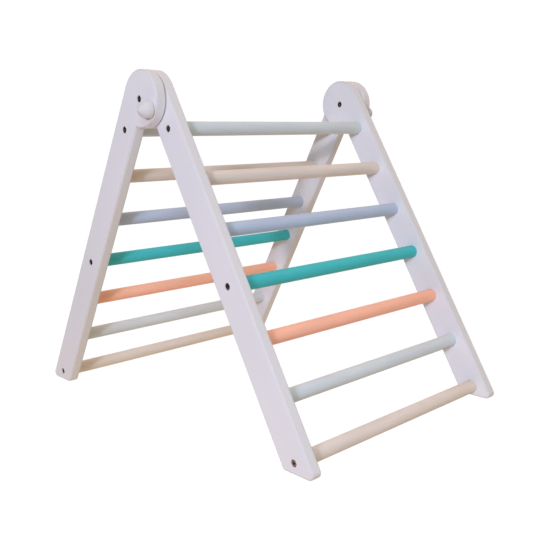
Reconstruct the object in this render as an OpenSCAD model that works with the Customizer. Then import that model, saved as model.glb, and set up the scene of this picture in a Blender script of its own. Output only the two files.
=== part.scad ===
// Folding climbing triangle: two wooden ladders that pivot at their round heads.
// The outer ladder leans to -X and carries the pivots and the lock knobs, the inner
// ladder leans to +X and its rails run just inside the outer rails. The near side is -Y.
// The origin is on the floor under the pivot axis.

/* [Stance] */
// Angle between the ladders when they stand open, in degrees
open_angle = 60; // [50:1:70]
// Width over the outer faces of the outer rails
width = 624; // [450:1:800]
// Height of the lowest rung's axis above the floor
last_rung_z = 21; // [19:1:40]

/* [Rails] */
// Width of a rail, seen from the side
rail_w = 68; // [60:1:80]
// Thickness of a rail
rail_t = 23.5; // [20:0.5:30]
// Radius of the round head
head_r = 56.5; // [52:0.5:62]
// How far the head's centre lies in from the pivot, across the rail
head_inset = 1.5; // [0:0.5:3]
// How far the head's centre lies above the pivot, along the rail
head_rise = 1; // [0:0.5:3]
// Radius that the long edges are rounded to
edge_r = 4; // [1:0.5:6]
// Radius of the foot's two corners, seen from the side
foot_r = 10; // [7:0.5:14]
// Space between an outer rail and the inner rail beside it
rail_gap = 0.8; // [0.5:0.1:2]

/* [Rungs] */
// Diameter of a rung
rung_d = 28; // [22:0.5:34]
// Distance from the pivot to the top rung, along the rail
first_rung = 79; // [75:1:95]
// Distance between rungs, along the rail
rung_pitch = 110; // [90:1:120]
// Depth of the blind socket that holds a rung's end
socket_depth = 10; // [6:0.5:14]
// Chamfer round a rung's ends
rung_chamfer = 1; // [0.5:0.25:2]

/* [Rung screws] */
// Diameter of a screw's shank
screw_d = 6; // [4:0.5:8]
// Length of a screw's shank in the rung, past the socket's floor
screw_grip = 36; // [20:1:60]

/* [Socket heads] */
// Diameter of the flat heads of the screws, pivot bolts and sleeves
flat_head_d = 13.5; // [12:0.5:15]
// Height of a flat head
flat_head_t = 3.5; // [3:0.25:5]
// Depth that a head is sunk below the wood
head_sink = 0.6; // [0.2:0.1:1.5]
// Hexagon socket across its flats
hex_af = 5; // [4:0.5:6]
// Depth of the hexagon socket
hex_depth = 2.5; // [1.5:0.25:3]
// Chamfer round a head
head_chamfer = 0.8; // [0.3:0.1:1.5]

/* [Pivots] */
// Outside diameter of the sleeve that the inner rail turns on
sleeve_d = 10; // [8:0.5:12]
// Diameter of the pivot bolt that screws into the sleeve
pivot_bolt_d = 6; // [5:0.5:7]
// Length of the pivot bolt under its head
pivot_bolt_l = 28; // [15:1:34]
// Outside diameter of the sliding washer between the rails
slide_washer_d = 44; // [20:1:50]

/* [Locks] */
// Distance of the lock knob from the pivot, square to the outer rail
lock_offset = 42; // [38:0.5:42]
// Distance of the lock knob below the pivot, along the outer rail
lock_drop = 1; // [0:0.5:6]
// Diameter of the lock stud
stud_d = 8; // [6:0.5:9]
// Chamfer round the stud's tip
stud_chamfer = 1; // [0.5:0.25:2]
// Depth of the curved groove that the stud's tip runs in
groove_depth = 12; // [8:0.5:14]
// Diameter of the threaded insert in the outer rail
insert_d = 11; // [10:0.5:13]
// Length of the threaded insert
insert_l = 14; // [8:0.5:16]
// Diameter of the insert's flange
insert_flange_d = 15; // [14:0.5:18]
// Thickness of the insert's flange
insert_flange_t = 1.5; // [1:0.25:2]

/* [Lock knobs] */
// Diameter of a knob
knob_d = 33; // [28:0.5:34]
// Height of a knob, to the top of its round end
knob_h = 24.5; // [21:0.5:28]
// Radius of the rounded rim beside the washer
knob_rim_r = 1.5; // [0.5:0.25:4]
// Depth that the stud is screwed into the knob
stud_hold = 12; // [8:0.5:14]
// Diameter of the washer under a knob
lock_washer_d = 23; // [17:0.5:24]
// Thickness of the washer under a knob
lock_washer_t = 1; // [0.75:0.25:2]

/* [Fits] */
// Clearance on the radius of parts that turn or slide on each other
run_clear = 0.06; // [0.02:0.01:0.1]
// Clearance on the radius of parts that are glued, pressed or screwed together
seat_clear = 0.1; // [0.05:0.01:0.15]
// Free space round a lock stud and at the ends of blind holes
free_clear = 0.3; // [0.2:0.05:0.4]
// Space left between the inner rails and the outer top rung when folded
fold_clear = 2; // [1:0.5:6]

/* [Hidden] */
$fn = 64;
eps = 0.5;
rungs = 7;
screwed_rungs = [1, 4, 7];
half_angle = open_angle / 2;

// A rail's outside edge, middle and inside edge, as distances across the rail from the pivot.
// The outside edge is a tangent to the head.
rail_outside = head_r - head_inset;
rail_mid = rail_outside - rail_w / 2;
rail_inside = rail_outside - rail_w;
last_rung = first_rung + (rungs - 1) * rung_pitch;
pivot_z = last_rung_z + last_rung * cos(half_angle) - rail_mid * sin(half_angle);

// Middle planes of the rails, as distances from the part's middle plane
outer_mid = width / 2 - rail_t / 2;
inner_mid = outer_mid - rail_t - rail_gap;
counterbore = flat_head_t + head_sink;
counterbore_d = flat_head_d + 2 * free_clear;

// The groove's arc about the pivot, in the inner rail: it starts where the stud sits when
// the ladders stand open, and ends where the inner rails would meet the outer top rung
lock_r = norm([lock_drop, lock_offset]);
stud_angle = 180 - atan2(-lock_drop, -lock_offset) - open_angle;
fold_stop = asin((rung_d / 2 + fold_clear - rail_inside) / norm([first_rung, rail_mid]))
    - atan2(rail_mid, first_rung);
fold_travel = open_angle - fold_stop;
stud_tip = rail_gap + groove_depth - free_clear;

// Centres of the foot's two round corners, as [across, down] the rail
toe = foot_corner(rail_outside - foot_r);
heel = foot_corner(rail_inside + foot_r);

paint = "#ECEBF0";
bronze = "#5A4236";
steel = "#B9BBBD";
nylon = "#E4E2DC";
rung_colours = ["#C3CDCB", "#DBD0C3", "#ABB6CC", "#43B1B4", "#EFA98A", "#BFCBCF", "#D8CCBE"];

// The two sides of the part
near = -1;
far = 1;

// A ladder's own frame: X across the rail to its outside edge, -Z down the rail from the pivot
module on_inner_ladder() { translate([0, 0, pivot_z]) rotate([0, -half_angle, 0]) children(); }
module on_outer_ladder() { mirror([1, 0, 0]) on_inner_ladder() children(); }

// Turns +Z to point out of the given side of the part
module outward(side) { rotate([-90 * side, 0, 0]) children(); }

// A point on a ladder: how far down the rail, across it and out from the part's middle plane
module at(down, across, side, out) {
    translate([across, side * out, -down]) outward(side) children();
}

// Places its children on the axes of the given rungs, turned out of the given side
module at_rungs(list, side, out) {
    for (k = list) at(first_rung + (k - 1) * rung_pitch, rail_mid, side, out) children();
}

// Centre of a round corner that touches the floor, at a distance across the rail
function foot_corner(across) =
    [across, (pivot_z + across * sin(half_angle) - foot_r) / cos(half_angle)];

// The point a distance straight below a foot corner's centre, in a ladder's own X and Z
function below(corner, d) =
    [corner[0] - d * sin(half_angle), -corner[1] - d * cos(half_angle)];

// Section of a rail or a foot, its four edges rounded
module rounded_section(w) {
    square([w - 2 * edge_r, rail_t], center = true);
    square([w, rail_t - 2 * edge_r], center = true);
    for (x = [-1, 1], y = [-1, 1])
        translate([x * (w / 2 - edge_r), y * (rail_t / 2 - edge_r)]) circle(edge_r);
}

// Disc across Y whose rim has the rails' rounded edges
module rounded_disc(r) {
    rotate([90, 0, 0]) rotate_extrude() intersection() {
        rounded_section(2 * r);
        translate([0, -rail_t]) square([r + eps, 2 * rail_t]);
    }
}

// A rail before any hole is cut, its middle plane at Y = 0
module rail_blank() {
    sole_overlap = 1;
    strip = edge_r + 2 * sole_overlap;
    drop = foot_r - edge_r - sole_overlap;
    translate([-head_inset, 0, head_rise]) rounded_disc(head_r);
    // the shank, from the head's centre down to just above the sole's rounded edges
    intersection() {
        translate([rail_mid, 0, -toe[1] - drop])
            linear_extrude(toe[1] + drop + head_rise) rounded_section(rail_w);
        rotate([90, 0, 0]) linear_extrude(rail_t + eps, center = true) polygon([
            [rail_inside - eps, head_rise + eps], [rail_outside + eps, head_rise + eps],
            [rail_outside + eps, -toe[1]], below(toe, 0), below(toe, drop), below(heel, drop),
            below(heel, 0), [rail_inside - eps, -heel[1]]]);
    }
    // the foot's two round corners and the sole between them
    translate([toe[0], 0, -toe[1]]) rounded_disc(foot_r);
    translate([heel[0], 0, -heel[1]]) rounded_disc(foot_r);
    translate([heel[0], 0, -heel[1]]) rotate([0, 90 + half_angle, 0])
        linear_extrude(norm(toe - heel)) intersection() {
            rounded_section(2 * foot_r);
            translate([foot_r - strip, -rail_t]) square([strip + eps, 2 * rail_t]);
        }
}

// Blind sockets for the rung ends in a rail's inside face, and holes for the rung screws
module cut_rung_seats(side) {
    at_rungs([1 : rungs], side, 0) translate([0, 0, -rail_t / 2 - eps])
        cylinder(d = rung_d + 2 * seat_clear, h = socket_depth + eps);
    at_rungs(screwed_rungs, side, 0) {
        translate([0, 0, -rail_t / 2]) cylinder(d = screw_d + 2 * seat_clear, h = rail_t);
        translate([0, 0, rail_t / 2 - counterbore])
            cylinder(d = counterbore_d, h = counterbore + eps);
    }
}

module outer_rail(side) {
    color(paint) on_outer_ladder() translate([0, side * outer_mid, 0]) difference() {
        rail_blank();
        cut_rung_seats(side);
        at(0, 0, side, -rail_t / 2 - eps)
            cylinder(d = sleeve_d + 2 * seat_clear, h = rail_t);
        at(0, 0, side, rail_t / 2 - counterbore)
            cylinder(d = counterbore_d, h = counterbore + eps);
        at(lock_drop, -lock_offset, side, -rail_t / 2 - eps) {
            cylinder(d = insert_flange_d + 2 * seat_clear, h = insert_flange_t + seat_clear + eps);
            cylinder(d = insert_d + 2 * seat_clear, h = insert_l + seat_clear + eps);
            cylinder(d = stud_d + 2 * free_clear, h = rail_t + 2 * eps);
        }
    }
}

module inner_rail(side) {
    color(paint) on_inner_ladder() translate([0, side * inner_mid, 0]) difference() {
        rail_blank();
        cut_rung_seats(side);
        at(0, 0, side, -rail_t / 2 - eps) {
            cylinder(d = sleeve_d + 2 * run_clear, h = rail_t + 2 * eps);
            cylinder(d = counterbore_d, h = counterbore + free_clear + eps);
        }
        at(0, 0, side, rail_t / 2 - groove_depth) lock_groove(side);
    }
}

// Curved groove about the pivot, from where the stud sits when the ladders stand open. Its
// round ends are a hair wider than its arc, so no sliver is left where they meet.
module lock_groove(side) {
    w = stud_d + 2 * free_clear;
    end_w = w + 0.02;
    open_end = -side * stud_angle;
    folded_end = -side * (stud_angle + fold_travel);
    for (a = [open_end, folded_end])
        rotate(a) translate([lock_r, 0, 0]) cylinder(d = end_w, h = groove_depth + eps);
    rotate(min(open_end, folded_end)) rotate_extrude(angle = fold_travel)
        translate([lock_r - w / 2, 0]) square([w, groove_depth + eps]);
}

// One plain wooden rung along Y. Rungs that are screwed have a pilot hole in each end.
module rung(k, face) {
    l = 2 * (face + socket_depth - seat_clear);
    color(rung_colours[k - 1]) translate([rail_mid, 0, -first_rung - (k - 1) * rung_pitch])
        rotate([90, 0, 0]) difference() {
            union() {
                cylinder(d = rung_d, h = l - 2 * rung_chamfer, center = true);
                for (s = [-1, 1]) mirror([0, 0, s > 0 ? 0 : 1])
                    translate([0, 0, l / 2 - rung_chamfer])
                        cylinder(d1 = rung_d, d2 = rung_d - 2 * rung_chamfer, h = rung_chamfer);
            }
            if (len(search(k, screwed_rungs)) > 0)
                for (s = [-1, 1]) translate([0, 0, s * l / 2]) cylinder(
                    d = screw_d + 2 * seat_clear, h = 2 * (screw_grip + free_clear), center = true);
        }
}

module outer_rung(k) { on_outer_ladder() rung(k, width / 2 - rail_t); }
module inner_rung(k) { on_inner_ladder() rung(k, inner_mid - rail_t / 2); }

// Flat head with a chamfered rim and a hexagon socket. Its face is at Z = 0.
module flat_head() {
    difference() {
        translate([0, 0, -flat_head_t]) union() {
            cylinder(d = flat_head_d, h = flat_head_t - head_chamfer);
            translate([0, 0, flat_head_t - head_chamfer])
                cylinder(d1 = flat_head_d, d2 = flat_head_d - 2 * head_chamfer, h = head_chamfer);
        }
        translate([0, 0, -hex_depth])
            cylinder(d = hex_af / cos(30), h = hex_depth + eps, $fn = 6);
    }
}

// Rung screws of one rail, heads sunk in its outside face
module rung_screws(side, face) {
    shank = rail_t - socket_depth - counterbore + screw_grip;
    color(bronze) at_rungs(screwed_rungs, side, face - head_sink) {
        flat_head();
        translate([0, 0, -flat_head_t - shank]) union() {
            cylinder(d1 = screw_d / 2, d2 = screw_d, h = screw_d);
            translate([0, 0, screw_d]) cylinder(d = screw_d, h = shank - screw_d);
        }
    }
}

module outer_screws(side) { on_outer_ladder() rung_screws(side, width / 2); }
module inner_screws(side) { on_inner_ladder() rung_screws(side, inner_mid + rail_t / 2); }

module pivot_bolt(side) {
    color(bronze) on_outer_ladder() at(0, 0, side, width / 2 - head_sink) {
        flat_head();
        translate([0, 0, -flat_head_t - pivot_bolt_l]) cylinder(d = pivot_bolt_d, h = pivot_bolt_l);
    }
}

// Threaded sleeve, put in from the inside: the inner rail turns on it
module pivot_sleeve(side) {
    inside = inner_mid - rail_t / 2 + head_sink;
    l = width / 2 - counterbore - free_clear - inside;
    color(bronze) on_outer_ladder() at(0, 0, side, inside) difference() {
        union() {
            rotate([180, 0, 0]) flat_head();
            translate([0, 0, flat_head_t]) cylinder(d = sleeve_d, h = l - flat_head_t);
        }
        translate([0, 0, l - pivot_bolt_l])
            cylinder(d = pivot_bolt_d + 2 * seat_clear, h = pivot_bolt_l + eps);
    }
}

module slide_washer(side) {
    color(nylon) on_outer_ladder() at(0, 0, side, width / 2 - rail_t - rail_gap + run_clear)
        difference() {
            cylinder(d = slide_washer_d, h = rail_gap - run_clear);
            translate([0, 0, -eps]) cylinder(d = sleeve_d + 2 * seat_clear, h = rail_gap + 2 * eps);
        }
}

// Places a lock's pieces on its axis, at a distance out from the part's middle plane
module at_lock(side, out) { on_outer_ladder() at(lock_drop, -lock_offset, side, out) children(); }

// Threaded insert pressed in from the face that meets the inner rail
module lock_insert(side) {
    color(steel) at_lock(side, width / 2 - rail_t + seat_clear) difference() {
        union() {
            cylinder(d = insert_flange_d, h = insert_flange_t);
            cylinder(d = insert_d, h = insert_l);
        }
        translate([0, 0, -eps]) cylinder(d = stud_d + 2 * run_clear, h = insert_l + 2 * eps);
    }
}

// Stud of a lock knob. Its tip runs in the inner rail's groove.
module lock_stud(side) {
    l = stud_tip + rail_t + lock_washer_t + stud_hold;
    color(steel) at_lock(side, width / 2 - rail_t - stud_tip) union() {
        cylinder(d1 = stud_d - 2 * stud_chamfer, d2 = stud_d, h = stud_chamfer);
        translate([0, 0, stud_chamfer]) cylinder(d = stud_d, h = l - stud_chamfer);
    }
}

module lock_washer(side) {
    color(nylon) at_lock(side, width / 2) difference() {
        cylinder(d = lock_washer_d, h = lock_washer_t);
        translate([0, 0, -eps]) cylinder(d = stud_d + 2 * run_clear, h = lock_washer_t + 2 * eps);
    }
}

// Half of a knob's profile: X is the radius, Y the height above its washer
module knob_profile() {
    r = knob_d / 2;
    // round end
    intersection() {
        translate([0, knob_h - r]) circle(r, $fn = 96);
        translate([0, knob_h - r]) square([r, r]);
    }
    // straight side down to the rounded rim and the flat that bears on the washer
    translate([0, knob_rim_r]) square([r, knob_h - r - knob_rim_r]);
    translate([r - knob_rim_r, knob_rim_r]) circle(knob_rim_r);
    square([r - knob_rim_r, 2 * knob_rim_r]);
}

module lock_knob(side) {
    color(paint) at_lock(side, width / 2 + lock_washer_t) difference() {
        rotate_extrude() knob_profile();
        translate([0, 0, -eps]) cylinder(d = stud_d + 2 * seat_clear, h = stud_hold + free_clear + eps);
    }
}

for (k = [1 : rungs]) {
    outer_rung(k);
    inner_rung(k);
}
outer_rail(near);  // outer_rail_near
outer_rail(far);  // outer_rail_far
inner_rail(near);  // inner_rail_near
inner_rail(far);  // inner_rail_far
outer_screws(near);  // outer_screws_near
outer_screws(far);  // outer_screws_far
inner_screws(near);  // inner_screws_near
inner_screws(far);  // inner_screws_far
pivot_bolt(near);  // pivot_bolt_near
pivot_bolt(far);  // pivot_bolt_far
pivot_sleeve(near);  // pivot_sleeve_near
pivot_sleeve(far);  // pivot_sleeve_far
slide_washer(near);  // slide_washer_near
slide_washer(far);  // slide_washer_far
lock_insert(near);  // lock_insert_near
lock_insert(far);  // lock_insert_far
lock_stud(near);  // lock_stud_near
lock_stud(far);  // lock_stud_far
lock_washer(near);  // lock_washer_near
lock_washer(far);  // lock_washer_far
lock_knob(near);  // lock_knob_near
lock_knob(far);  // lock_knob_far
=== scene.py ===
"""Folding climbing triangle: finishes, fine hardware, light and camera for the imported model."""

import bmesh
import bpy
from math import cos, radians, sin, sqrt
from mathutils import Matrix, Vector


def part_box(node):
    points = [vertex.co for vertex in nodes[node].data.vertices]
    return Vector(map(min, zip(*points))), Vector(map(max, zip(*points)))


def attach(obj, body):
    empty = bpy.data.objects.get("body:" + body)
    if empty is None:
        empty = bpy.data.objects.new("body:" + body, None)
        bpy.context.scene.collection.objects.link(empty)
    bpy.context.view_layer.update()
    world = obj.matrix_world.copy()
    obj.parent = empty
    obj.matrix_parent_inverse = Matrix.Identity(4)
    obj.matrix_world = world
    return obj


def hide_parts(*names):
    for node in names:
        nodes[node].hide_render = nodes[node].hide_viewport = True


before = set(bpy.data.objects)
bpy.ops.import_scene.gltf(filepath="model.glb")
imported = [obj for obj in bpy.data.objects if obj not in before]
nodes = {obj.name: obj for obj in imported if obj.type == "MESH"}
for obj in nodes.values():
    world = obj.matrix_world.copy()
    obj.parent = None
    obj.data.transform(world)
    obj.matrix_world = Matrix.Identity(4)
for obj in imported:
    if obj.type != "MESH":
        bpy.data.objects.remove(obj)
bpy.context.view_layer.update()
scene = bpy.context.scene


# Rails: solid birch, sawn to shape and rounded over on every edge, then sprayed with white
# water-based satin paint. The grain runs along each rail and just shows under the paint.
# Where the edges are rounded, painted shade makes the paint darker and a little warmer, to tone
# down the light that the rounding catches.
LEAN = radians(30)
PAINT = ((0.675, 0.665, 0.668), (0.705, 0.694, 0.697))
PAINT_ROUGHNESS = (0.54, 0.64)
PAINT_SPECULAR = 0.35
# sizes along X, Y and Z in metres, and depths of relief
PAINT_CLOUD = (0.09, 0.09, 0.25)
PAINT_FILM = (0.004, 0.004, 0.004)
PAINT_FILM_DEPTH = 0.00006
RAIL_GRAIN = (0.0022, 0.003, 0.06)
RAIL_GRAIN_DEPTH = 0.00010
# the span in which nearly all of a noise's values lie
NOISE_SPAN = (0.3, 0.7)
# painted shade on the rounded edges: the share of the paint's lightness that is left, by how
# squarely the surface faces along Y, from edges (0) through rounding to faces (1)
ROUNDING_SHADE = ((0.0, 1.0), (0.3, 0.97), (0.5, 0.91), (0.72, 0.85), (0.88, 0.86), (0.97, 0.93), (1, 1))
# the painted shade's tint, a little warmer than the paint
ROUNDING_SHADE_TINT = (1.0, 0.98, 0.97)


def new_material(name):
    """A node material: returns it, its nodes, its links and its Principled shader."""
    material = bpy.data.materials.new(name)
    material.use_nodes = True
    tree = material.node_tree
    return material, tree.nodes, tree.links, tree.nodes["Principled BSDF"]


def wood_noise(n, links, scale, turn=0.0, detail=4.0):
    """Noise on Object coordinates, turned about Y, with one grain's size along each axis."""
    place = n.new("ShaderNodeTexCoord")
    mapping = n.new("ShaderNodeMapping")
    mapping.vector_type = "TEXTURE"
    mapping.inputs["Rotation"].default_value = (0, turn, 0)
    mapping.inputs["Scale"].default_value = scale
    noise = n.new("ShaderNodeTexNoise")
    noise.inputs["Scale"].default_value = 1.0
    noise.inputs["Detail"].default_value = detail
    links.new(place.outputs["Object"], mapping.inputs["Vector"])
    links.new(mapping.outputs["Vector"], noise.inputs["Vector"])
    return noise.outputs["Fac"]


def spread(n, links, value, low, high, to_low=0.0, to_high=1.0):
    """Maps a value from one range to another."""
    node = n.new("ShaderNodeMapRange")
    limits = (("From Min", low), ("From Max", high), ("To Min", to_low), ("To Max", to_high))
    for socket, number in limits:
        node.inputs[socket].default_value = number
    links.new(value, node.inputs["Value"])
    return node.outputs["Result"]


def blend_colours(n, links, share, first, second):
    """A colour between two others. Each is a colour, or a socket that gives one."""
    node = n.new("ShaderNodeMix")
    node.data_type = "RGBA"
    links.new(share, node.inputs["Factor"])
    for socket, colour in ((node.inputs["A"], first), (node.inputs["B"], second)):
        if isinstance(colour, bpy.types.NodeSocket):
            links.new(colour, socket)
        else:
            socket.default_value = (*colour, 1)
    return node.outputs["Result"]


def relief(n, links, shader, *layers):
    """Bump from layers of (height value, depth in metres), one over the other."""
    under = None
    for height, depth in layers:
        bump = n.new("ShaderNodeBump")
        bump.inputs["Distance"].default_value = depth
        links.new(height, bump.inputs["Height"])
        if under is not None:
            links.new(under, bump.inputs["Normal"])
        under = bump.outputs["Normal"]
    links.new(under, shader.inputs["Normal"])


def white_paint(name, turn):
    """White satin paint over wood whose grain leans by an angle about Y, with painted shade on
    its rounded edges.
    """
    material, n, links, shader = new_material(name)
    cloud = wood_noise(n, links, PAINT_CLOUD, turn, detail=2)
    grain = wood_noise(n, links, RAIL_GRAIN, turn, detail=5)
    film = wood_noise(n, links, PAINT_FILM, detail=3)
    even = blend_colours(n, links, spread(n, links, cloud, *NOISE_SPAN), *PAINT)
    geometry = n.new("ShaderNodeNewGeometry")
    split = n.new("ShaderNodeSeparateXYZ")
    links.new(geometry.outputs["Normal"], split.inputs["Vector"])
    outward = n.new("ShaderNodeMath")
    outward.operation = "ABSOLUTE"
    links.new(split.outputs["Y"], outward.inputs[0])
    # painted shade: darker and warmer where the surface turns from facing along Y towards an edge
    rounding_shade = n.new("ShaderNodeValToRGB")
    for position, _ in ROUNDING_SHADE[1:-1]:
        rounding_shade.color_ramp.elements.new(position)
    for stop, (_, left) in zip(rounding_shade.color_ramp.elements, ROUNDING_SHADE):
        stop.color = (*(left * tint if left < 1 else 1 for tint in ROUNDING_SHADE_TINT), 1)
    links.new(outward.outputs["Value"], rounding_shade.inputs["Fac"])
    # the paint's colour times its painted shade
    shaded_paint_colour = n.new("ShaderNodeMix")
    shaded_paint_colour.data_type, shaded_paint_colour.blend_type = "RGBA", "MULTIPLY"
    shaded_paint_colour.inputs["Factor"].default_value = 1
    links.new(even, shaded_paint_colour.inputs["A"])
    links.new(rounding_shade.outputs["Color"], shaded_paint_colour.inputs["B"])
    links.new(shaded_paint_colour.outputs["Result"], shader.inputs["Base Color"])
    rough = spread(n, links, film, *NOISE_SPAN, *PAINT_ROUGHNESS)
    links.new(rough, shader.inputs["Roughness"])
    shader.inputs["Specular IOR Level"].default_value = PAINT_SPECULAR
    relief(n, links, shader, (grain, RAIL_GRAIN_DEPTH), (film, PAINT_FILM_DEPTH))
    return material


def finish_with(material, *names):
    """Gives CAD nodes a material in place of their plain one."""
    for name in names:
        nodes[name].data.materials.clear()
        nodes[name].data.materials.append(material)


finish_with(white_paint("white paint, outer ladder", LEAN), "outer_rail_near", "outer_rail_far")
finish_with(white_paint("white paint, inner ladder", -LEAN), "inner_rail_near", "inner_rail_far")


# Rungs: plain beech dowels in five satin colours, glued into blind sockets in the rails. The
# colour lets the long grain show as fine streaks a little darker than the ground.
STAINS = {
    "mint": (0.615, 0.672, 0.692),
    "cream": (0.729, 0.645, 0.573),
    "lilac": (0.462, 0.545, 0.683),
    "teal": (0.054, 0.50, 0.515),
    "coral": (0.98, 0.498, 0.347),
}
RUNG_ORDER = ("mint", "cream", "lilac", "teal", "coral", "mint", "cream")
DOWEL_ROUGHNESS = (0.6, 0.7)
DOWEL_SPECULAR = 0.3
DOWEL_CLOUD = (0.02, 0.12, 0.02)
DOWEL_GRAIN = (0.0016, 0.05, 0.0016)
DOWEL_GRAIN_DEPTH = 0.00008
# the ground at its darkest and its lightest, and the streaks, as shares of the colour
DOWEL_SHADES = (0.95, 1.03, 0.88)
# the noise at which a streak begins and is full, and how much of the ground it then covers
STREAK_SPAN = (0.55, 0.8)
STREAK_COVER = 0.5


def stained_dowel(name, colour):
    """Satin colour on a dowel that lies along Y."""
    material, n, links, shader = new_material(name)
    streaks = wood_noise(n, links, DOWEL_GRAIN, detail=5)
    cloud = wood_noise(n, links, DOWEL_CLOUD, detail=2)
    dark, light, streak = (tuple(c * share for c in colour) for share in DOWEL_SHADES)
    ground = blend_colours(n, links, spread(n, links, cloud, *NOISE_SPAN), dark, light)
    marked = spread(n, links, streaks, *STREAK_SPAN, to_high=STREAK_COVER)
    links.new(blend_colours(n, links, marked, ground, streak), shader.inputs["Base Color"])
    rough = spread(n, links, streaks, *NOISE_SPAN, *DOWEL_ROUGHNESS)
    links.new(rough, shader.inputs["Roughness"])
    shader.inputs["Specular IOR Level"].default_value = DOWEL_SPECULAR
    relief(n, links, shader, (streaks, DOWEL_GRAIN_DEPTH))
    return material


dowels = {tint: stained_dowel(f"{tint} dowel", colour) for tint, colour in STAINS.items()}
for place, tint in enumerate(RUNG_ORDER, 1):
    finish_with(dowels[tint], f"outer_rung_{place}", f"inner_rung_{place}")


# Screws, pivot bolts and pivot sleeves: turned steel in antique bronze plating. Each flat head
# has a chamfered rim and a broached hexagon socket with a drilled floor. In the socket the
# plating is duller, and painted darker as shade in the recess. The heads sit just below the face
# of the rail.
SIDES = ("near", "far")
OUTWARD = {"near": -1, "far": 1}
SCREWED_RUNGS = (1, 4, 7)
HEAD_R = 0.00675
HEAD_T = 0.0035
RIM_W = 0.0011
RIM_DROP = 0.0009
RIM_SOFT = 0.00015
HEX_SIDES = 6
HEX_AF = 0.005
# the socket's mouth as a share of its width, and what is left of the width at its floor's point
HEX_MOUTH = 1.12
HEX_POINT = 0.1
MOUTH_DEPTH = 0.0004
HEX_DEPTH = 0.0025
FLOOR_DEPTH = 0.0006
SCREW_R = 0.003
SCREW_TIP = 2 * SCREW_R
SCREW_POINT = 0.5
SLEEVE_R = 0.005
SLEEVE_BORE_R = 0.0031
SEGMENTS = 48
# edges that bend by less than this are shaded smooth
SMOOTH_BELOW = radians(35)
BRONZE = ((0.30, 0.22, 0.19), (0.42, 0.32, 0.28))
BRONZE_ROUGHNESS = 0.17
# the socket's plating: a darker colour that holds painted shade for the recess
SOCKET_PAINTED_SHADE = ((0.16, 0.12, 0.10), (0.24, 0.19, 0.16))
SOCKET_ROUGHNESS = 0.30
WEAR_PATCH = (0.004, 0.004, 0.004)
WEAR_SPAN = (0.35, 0.7)
WEAR_SMOOTHER = 0.06
WEAR_ROUGHER = 0.08
WEAR_DEPTH = 0.00003


def plated_metal(name, dark, light, roughness):
    """Plated steel, its plating worn a little lighter in patches."""
    material, n, links, shader = new_material(name)
    wear = wood_noise(n, links, WEAR_PATCH)
    worn = blend_colours(n, links, spread(n, links, wear, *WEAR_SPAN), dark, light)
    links.new(worn, shader.inputs["Base Color"])
    rough = spread(n, links, wear, *NOISE_SPAN, roughness - WEAR_SMOOTHER,
                   roughness + WEAR_ROUGHER)
    links.new(rough, shader.inputs["Roughness"])
    shader.inputs["Metallic"].default_value = 1.0
    relief(n, links, shader, (wear, WEAR_DEPTH))
    return material


def carry_on(bm, ring, drop, factor=1.0):
    """Extrudes a closed ring of edges down by a distance and scales it about Z."""
    made = bmesh.ops.extrude_edge_only(bm, edges=ring)["geom"]
    verts = [part for part in made if isinstance(part, bmesh.types.BMVert)]
    bmesh.ops.scale(bm, vec=(factor, factor, 1), verts=verts)
    bmesh.ops.translate(bm, vec=(0, 0, -drop), verts=verts)
    reached = set(verts)
    return [part for part in made
            if isinstance(part, bmesh.types.BMEdge) and reached.issuperset(part.verts)]


def edges_of(verts):
    """The edges whose ends are all among some vertices."""
    chosen = set(verts)
    return [edge for edge in {e for v in verts for e in v.link_edges}
            if chosen.issuperset(edge.verts)]


def flat_head(shank_r, shank_l, axis, face_y, way, tip=0.0, bore=0.0):
    """A bmesh of a flat socket head and its shank, on an axis (X, Z), facing out along Y."""
    bm = bmesh.new()
    mouth_r = HEX_AF / sqrt(3) * HEX_MOUTH
    hexagon = bmesh.ops.create_circle(bm, segments=HEX_SIDES, radius=mouth_r)
    bmesh.ops.subdivide_edges(bm, edges=edges_of(hexagon["verts"]),
                              cuts=SEGMENTS // HEX_SIDES - 1)
    mouth = list(bm.edges)
    face_r = HEAD_R - RIM_W
    rim = edges_of(bmesh.ops.create_circle(bm, segments=SEGMENTS, radius=face_r)["verts"])
    bmesh.ops.bridge_loops(bm, edges=mouth + rim)
    # the socket: chamfered mouth, straight walls, and a floor like a drill's point
    wall = carry_on(bm, mouth, MOUTH_DEPTH, 1 / HEX_MOUTH)
    floor = carry_on(bm, wall, HEX_DEPTH - MOUTH_DEPTH)
    middle = carry_on(bm, floor, FLOOR_DEPTH, HEX_POINT)
    bmesh.ops.contextual_create(bm, geom=middle)
    # faces below the head's face, in the socket, take the second material with its painted shade
    for face in bm.faces:
        face.material_index = int(face.calc_center_median().z < 0)
    # the head's chamfered rim, side and underside, and the shank with its tip or its bore
    side = carry_on(bm, rim, RIM_DROP, HEAD_R / face_r)
    under = carry_on(bm, side, HEAD_T - RIM_DROP)
    neck = carry_on(bm, under, 0, shank_r / HEAD_R)
    end = carry_on(bm, neck, shank_l - tip)
    if tip:
        end = carry_on(bm, end, tip, SCREW_POINT)
    if bore:
        end = carry_on(bm, end, 0, bore / shank_r)
        end = carry_on(bm, end, -(shank_l - HEAD_T))
    bmesh.ops.contextual_create(bm, geom=end)
    bmesh.ops.bevel(bm, geom=rim + side, affect="EDGES", offset=RIM_SOFT, segments=2,
                    profile=0.5, material=-1)
    turn = Matrix.Rotation(radians(-90 * way), 4, "X")
    move = Matrix.Translation((axis[0], face_y, axis[1]))
    bmesh.ops.transform(bm, matrix=move @ turn, verts=bm.verts)
    return bm


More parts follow.
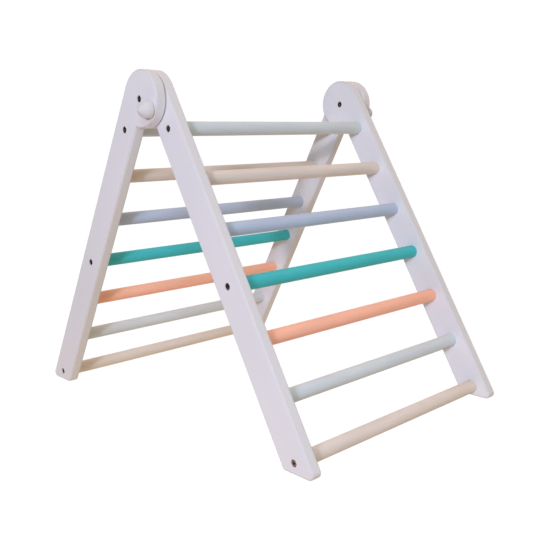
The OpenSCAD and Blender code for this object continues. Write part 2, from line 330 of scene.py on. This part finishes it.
def hand_over(parts, name, materials, body, slot, *replaced):
    """Makes one piece from bmeshes: shades it, rides it on its body, hides what it replaces."""
    mesh = bpy.data.meshes.new(name)
    bm = bmesh.new()
    for part in parts:
        part.to_mesh(mesh)
        part.free()
        bm.from_mesh(mesh)
    bmesh.ops.recalc_face_normals(bm, faces=bm.faces)
    for face in bm.faces:
        face.smooth = True
    for edge in bm.edges:
        edge.smooth = edge.calc_face_angle(0) < SMOOTH_BELOW
    bm.to_mesh(mesh)
    bm.free()
    for material in materials:
        mesh.materials.append(material)
    piece = bpy.data.objects.new(name, mesh)
    scene.collection.objects.link(piece)
    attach(piece, body)
    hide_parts(*replaced)


def box_axis(node):
    """The middle of a node's box, as (X, Z)."""
    low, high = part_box(node)
    return (low.x + high.x) / 2, (low.z + high.z) / 2


# the head's bronze, and the socket's darker bronze that holds painted shade
turned = (plated_metal("antique bronze", *BRONZE, BRONZE_ROUGHNESS),
          plated_metal("socket bronze with painted shade", *SOCKET_PAINTED_SHADE, SOCKET_ROUGHNESS))
for side in SIDES:
    way = OUTWARD[side]
    for ladder in ("outer", "inner"):
        screws = f"{ladder}_screws_{side}"
        low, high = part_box(screws)
        shank_l = high.y - low.y - HEAD_T
        face_y = high.y if way > 0 else low.y
        heads = [flat_head(SCREW_R, shank_l, box_axis(f"{ladder}_rung_{place}"), face_y, way,
                           tip=SCREW_TIP) for place in SCREWED_RUNGS]
        hand_over(heads, f"{screws}_turned", turned, f"{ladder}_ladder", "bronzed_steel", screws)
    for node, facing, shank_r, bore in ((f"pivot_bolt_{side}", way, SCREW_R, 0),
                                        (f"pivot_sleeve_{side}", -way, SLEEVE_R, SLEEVE_BORE_R)):
        low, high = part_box(node)
        head = flat_head(shank_r, high.y - low.y - HEAD_T, box_axis(node),
                         high.y if facing > 0 else low.y, facing, bore=bore)
        hand_over([head], f"{node}_turned", turned, "outer_ladder", "bronzed_steel", node)


# Lock studs and their threaded inserts: turned steel, bright zinc plated. Each stud is fixed in
# its knob, and the insert that it screws through is set into the outer rail.
ZINC = ((0.55, 0.55, 0.56), (0.68, 0.68, 0.68))
ZINC_ROUGHNESS = 0.32
zinc = plated_metal("zinc plate", *ZINC, ZINC_ROUGHNESS)
for side in SIDES:
    finish_with(zinc, f"lock_insert_{side}", f"lock_stud_{side}")


# Washers: the sliding washers between the rails and the washers under the lock knobs, stamped
# from natural nylon sheet.
NYLON = ((0.74, 0.73, 0.69), (0.82, 0.81, 0.77))
NYLON_ROUGHNESS = 0.45
NYLON_CLOUD = (0.006, 0.006, 0.006)
NYLON_DEPTH = 0.00003
nylon, n, links, shader = new_material("natural nylon")
cloud = wood_noise(n, links, NYLON_CLOUD, detail=3)
links.new(blend_colours(n, links, cloud, *NYLON), shader.inputs["Base Color"])
shader.inputs["Roughness"].default_value = NYLON_ROUGHNESS
relief(n, links, shader, (cloud, NYLON_DEPTH))
for side in SIDES:
    finish_with(nylon, f"slide_washer_{side}", f"lock_washer_{side}")


# Lock knobs: turned wooden balls with a straight side, painted as the rails are, with the same
# painted shade where they round over. Each is fixed on its stud and stands on its washer, outside
# the outer rail's head.
finish_with(white_paint("white paint, knobs", 0), "lock_knob_near", "lock_knob_far")


# Studio: a plain white floor and a white dome round it, which only the camera sees. The object
# is lit by a crisp key lamp at the camera's left, soft lamps round it, light that comes back
# from the floor, and four broad glows in the surround.
STAGE_R = 9.0
# the folded inner ladder's feet lie 77 mm lower than they stand, and the floor lies below them;
# midway through the fold they swing to 126 mm, and it hides their tips
FLOOR_DROP = 0.1
# only just over white: brighter than this, it would thin the object's outlines
STAGE_GLOW = 1.02
# each glow's direction and colour: above, behind the object, low before the near rails, and
# at the right
GLOWS = (
    ((0, 0, 1), (1.166, 0.71, 0.386)),
    ((-1, 1, 0), (1.93, 2.0, 2.28)),
    ((0, -1, -1), (0.644, 0.486, 0.562)),
    ((1, 0, 0), (0.545, 0.33, 0.0)),
)
GLOW_FALLOFF = 4
MIDDLE = Vector((0, 0, 0.35))
WHITE = (1, 1, 1)
# each lamp's name, heading from -Y towards +X and height in degrees, distance, width, power,
# colour and shape
LAMPS = (
    ("key", 30, 15, 4.0, 0.2, 49.4, (0.796, 0.858, 1.0), "SQUARE"),
    ("key softener", 26, 15, 4.0, 0.6, 45.7, (0.707, 0.712, 1.0), "SQUARE"),
    ("cool fill", 45, 35, 4.0, 1.0, 43.0, (0.502, 0.756, 1.0), "SQUARE"),
    ("low fill", 80, 5, 1.7, 0.4, 4.2, (0.243, 0.55, 1.0), "SQUARE"),
    ("left fill", -30, 40, 2.5, 2.0, 8.3, (0.945, 1.0, 0.904), "SQUARE"),
    ("back fill", 160, 40, 2.5, 2.0, 12.0, WHITE, "SQUARE"),
    ("floor bounce", 0, -90, MIDDLE.z + FLOOR_DROP, 3.0, 10.2, (1.0, 0.812, 0.585), "DISK"),
)


def white_stage(name, bm):
    """A stage piece of even white that the camera sees and that lights nothing."""
    mesh = bpy.data.meshes.new(name)
    bm.to_mesh(mesh)
    bm.free()
    material, _, _, shader = new_material(name)
    shader.inputs["Base Color"].default_value = (0, 0, 0, 1)
    shader.inputs["Specular IOR Level"].default_value = 0.0
    shader.inputs["Emission Color"].default_value = (*WHITE, 1)
    shader.inputs["Emission Strength"].default_value = STAGE_GLOW
    mesh.materials.append(material)
    stage = bpy.data.objects.new(name, mesh)
    scene.collection.objects.link(stage)
    stage.visible_diffuse = stage.visible_glossy = stage.visible_transmission = False
    stage.visible_volume_scatter = stage.visible_shadow = False


bm = bmesh.new()
bmesh.ops.create_circle(bm, cap_ends=True, segments=96, radius=STAGE_R,
                        matrix=Matrix.Translation((0, 0, -FLOOR_DROP)))
white_stage("floor", bm)
bm = bmesh.new()
bmesh.ops.create_uvsphere(bm, u_segments=64, v_segments=32, radius=STAGE_R)
white_stage("dome", bm)

world = bpy.data.worlds.new("surround")
scene.world = world
world.use_nodes = True
n, links = world.node_tree.nodes, world.node_tree.links
place = n.new("ShaderNodeTexCoord")


def glow_from(way, colour):
    """A broad glow in the surround, brightest in one direction: returns its shader."""
    facing = n.new("ShaderNodeVectorMath")
    facing.operation = "DOT_PRODUCT"
    facing.inputs[1].default_value = Vector(way).normalized()
    links.new(place.outputs["Generated"], facing.inputs[0])
    falloff = n.new("ShaderNodeMath")
    falloff.operation = "POWER"
    falloff.inputs[1].default_value = GLOW_FALLOFF
    links.new(spread(n, links, facing.outputs["Value"], 0, 1), falloff.inputs[0])
    glow = n.new("ShaderNodeBackground")
    glow.inputs["Color"].default_value = (*colour, 1)
    links.new(falloff.outputs["Value"], glow.inputs["Strength"])
    return glow.outputs["Background"]


surround = glow_from(*GLOWS[0])
for glow in GLOWS[1:]:
    both = n.new("ShaderNodeAddShader")
    links.new(surround, both.inputs[0])
    links.new(glow_from(*glow), both.inputs[1])
    surround = both.outputs["Shader"]
links.new(surround, n["World Output"].inputs["Surface"])

for name, heading, height, distance, size, power, colour, shape in LAMPS:
    data = bpy.data.lights.new(name, "AREA")
    data.shape, data.size, data.energy, data.color = shape, size, power, colour
    lamp = bpy.data.objects.new(name, data)
    level = cos(radians(height))
    way = Vector((sin(radians(heading)) * level, -cos(radians(heading)) * level,
                  sin(radians(height))))
    lamp.location = MIDDLE + way * distance
    lamp.rotation_mode = "QUATERNION"
    lamp.rotation_quaternion = way.to_track_quat("Z", "Y")
    lamp.visible_camera = False
    scene.collection.objects.link(lamp)


# Camera: at the place from which the photograph was taken, found from the rails' straight
# edges and the bolts. The focal length and the centre of view are in the photograph's pixels.
FRAME_PX = 550
FOCAL_PX = 744.092
CENTRE_X_PX = 287.072
CENTRE_Y_PX = 252.655
SENSOR_MM = 36
SIGHT_END = 50
camera_data = bpy.data.cameras.new("camera")
camera_data.sensor_width = SENSOR_MM
camera_data.lens = FOCAL_PX / FRAME_PX * SENSOR_MM
camera_data.shift_x = (FRAME_PX / 2 - CENTRE_X_PX) / FRAME_PX
camera_data.shift_y = (CENTRE_Y_PX - FRAME_PX / 2) / FRAME_PX
camera_data.clip_end = SIGHT_END
camera = bpy.data.objects.new("camera", camera_data)
right = Vector((0.693838, 0.719932, -0.01696))
up = Vector((-0.097757, 0.117496, 0.98825))
back = Vector((0.713465, -0.684027, 0.151902))
turn = Matrix((right, up, back)).transposed()
stand = Vector((1.252159, -1.123589, 0.570634))
camera.matrix_world = Matrix.LocRotScale(stand, turn.to_quaternion(), None)
scene.collection.objects.link(camera)
scene.camera = camera
scene.view_settings.view_transform = "Standard"
